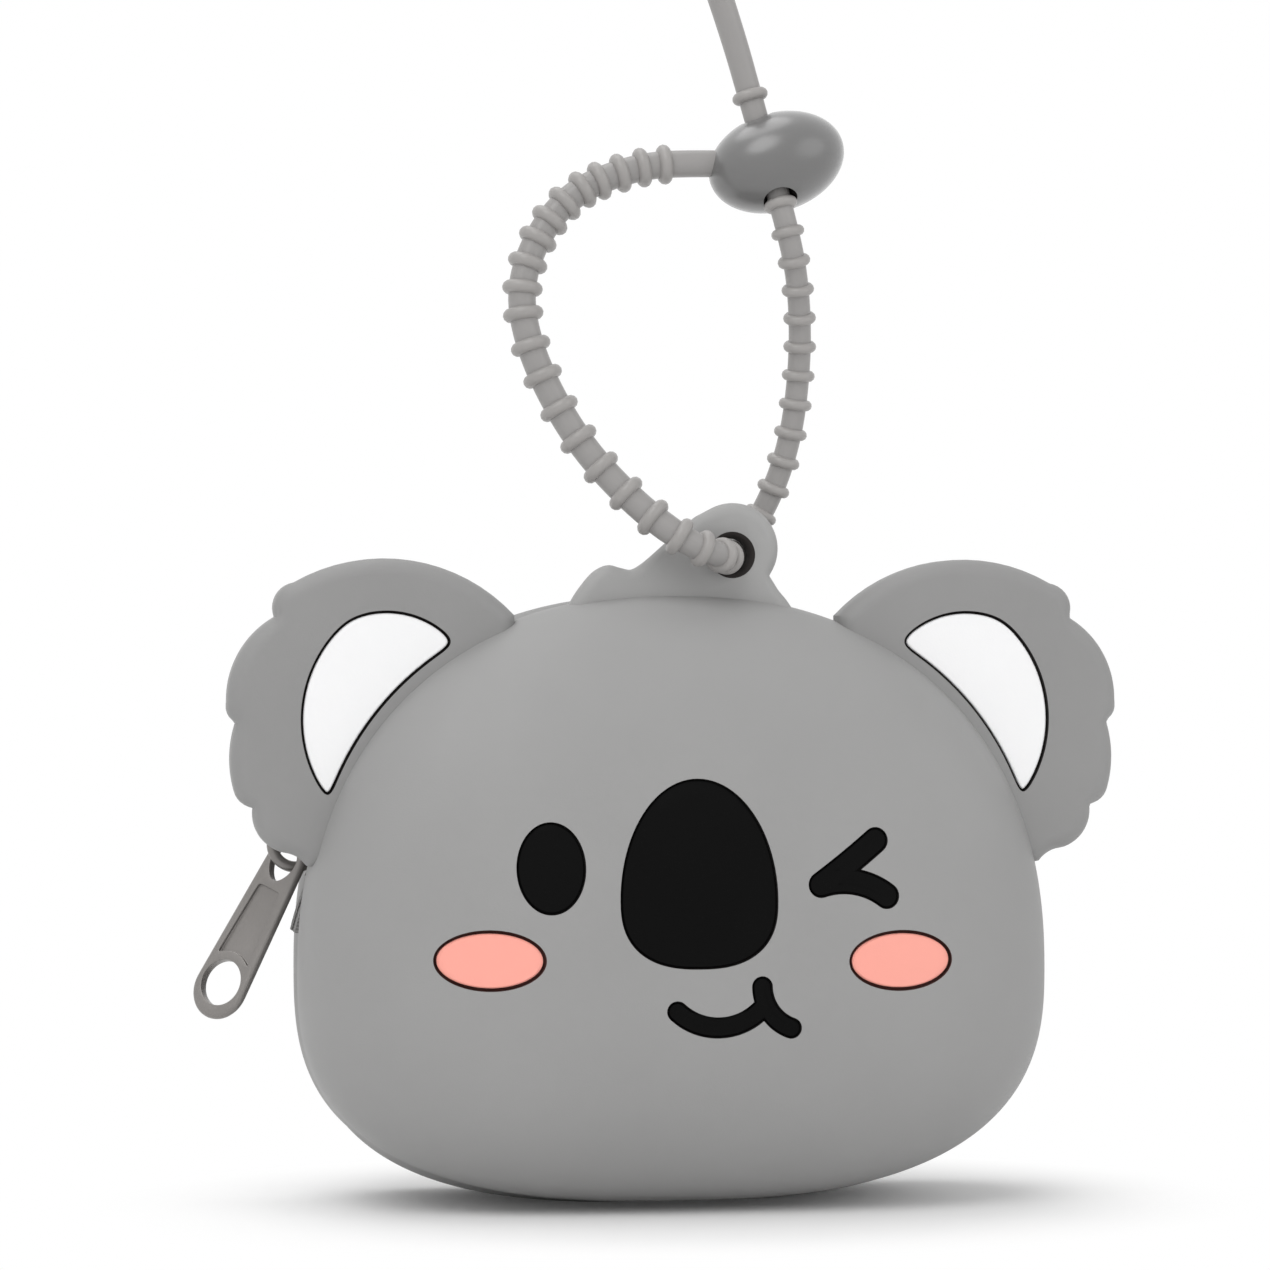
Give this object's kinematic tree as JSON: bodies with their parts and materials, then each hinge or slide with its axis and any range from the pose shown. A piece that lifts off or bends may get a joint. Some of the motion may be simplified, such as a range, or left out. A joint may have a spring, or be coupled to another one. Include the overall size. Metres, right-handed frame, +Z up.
{
  "type": "squeeze coin purse",
  "caption": "Soft moulded animal-head coin purse with a winking face, scalloped ears, a zip round its top edge and a ribbed wrist strap with a sliding bead",
  "frame": {"origin": "in the middle of the flat patch that the purse stands on, under the seam between the front shell and the back", "axes": "+Z up, the face looks towards -Y, +X towards the winking eye"},
  "size_m": [0.1131, 0.0476, 0.1549],
  "materials": {
    "silicone": "matte moulded silicone, mid grey",
    "black_inlay": "matte black filled silicone",
    "pink_inlay": "matte pink filled silicone",
    "white_inlay": "matte white filled silicone",
    "zip_tape": "woven grey zip tape",
    "zip_teeth": "moulded grey zip teeth",
    "zip_metal": "warm grey lacquer on die-cast metal",
    "strap_silicone": "satin grey silicone",
    "toggle_silicone": "satin grey silicone"
  },
  "bodies": {
    "purse": {"front_shell": "silicone", "nose_inlay": "black_inlay", "open_eye_inlay": "black_inlay", "wink_inlay": "black_inlay", "mouth_inlay": "black_inlay", "left_cheek_inlay": "pink_inlay", "right_cheek_inlay": "pink_inlay", "left_ear_inlay": "white_inlay", "right_ear_inlay": "white_inlay", "back_base": "silicone", "back_fold": "silicone", "front_tape": "zip_tape", "front_teeth": "zip_teeth", "left_stop": "zip_metal", "right_stop": "zip_metal"},
    "flap": {"back_flap": "silicone", "back_tape": "zip_tape", "back_teeth": "zip_teeth"},
    "zip_slider": {"slider": "zip_metal"},
    "zip_pull": {"pull": "zip_metal"},
    "wrist_strap": {"strap": "strap_silicone", "strap_toggle": "toggle_silicone"}
  },
  "joints": [
    {"name": "flap_open", "type": "hinge", "parent": "purse", "child": "flap", "pos_m": [0, 0, 0.033], "axis": [-1, 0, 0], "range_deg": [0, 40], "stiffness_Nm_per_rad": 0.05, "deforming": ["back_fold"]},
    {"name": "slider_travel", "type": "hinge", "parent": "purse", "child": "zip_slider", "pos_m": [0, 0, 0.029], "axis": [0, 1, 0], "range_deg": [0, 138]},
    {"name": "pull_flip", "type": "hinge", "parent": "zip_slider", "child": "zip_pull", "pos_m": [-0.04566, 0, 0.04419], "axis": [0, 1, 0], "range_deg": [0, 120]},
    {"name": "strap_swing", "type": "hinge", "parent": "purse", "child": "wrist_strap", "pos_m": [0.0068, -0.0119, 0.0794], "axis": [0, 1, 0], "range_deg": [-35, 35]}
  ]
}
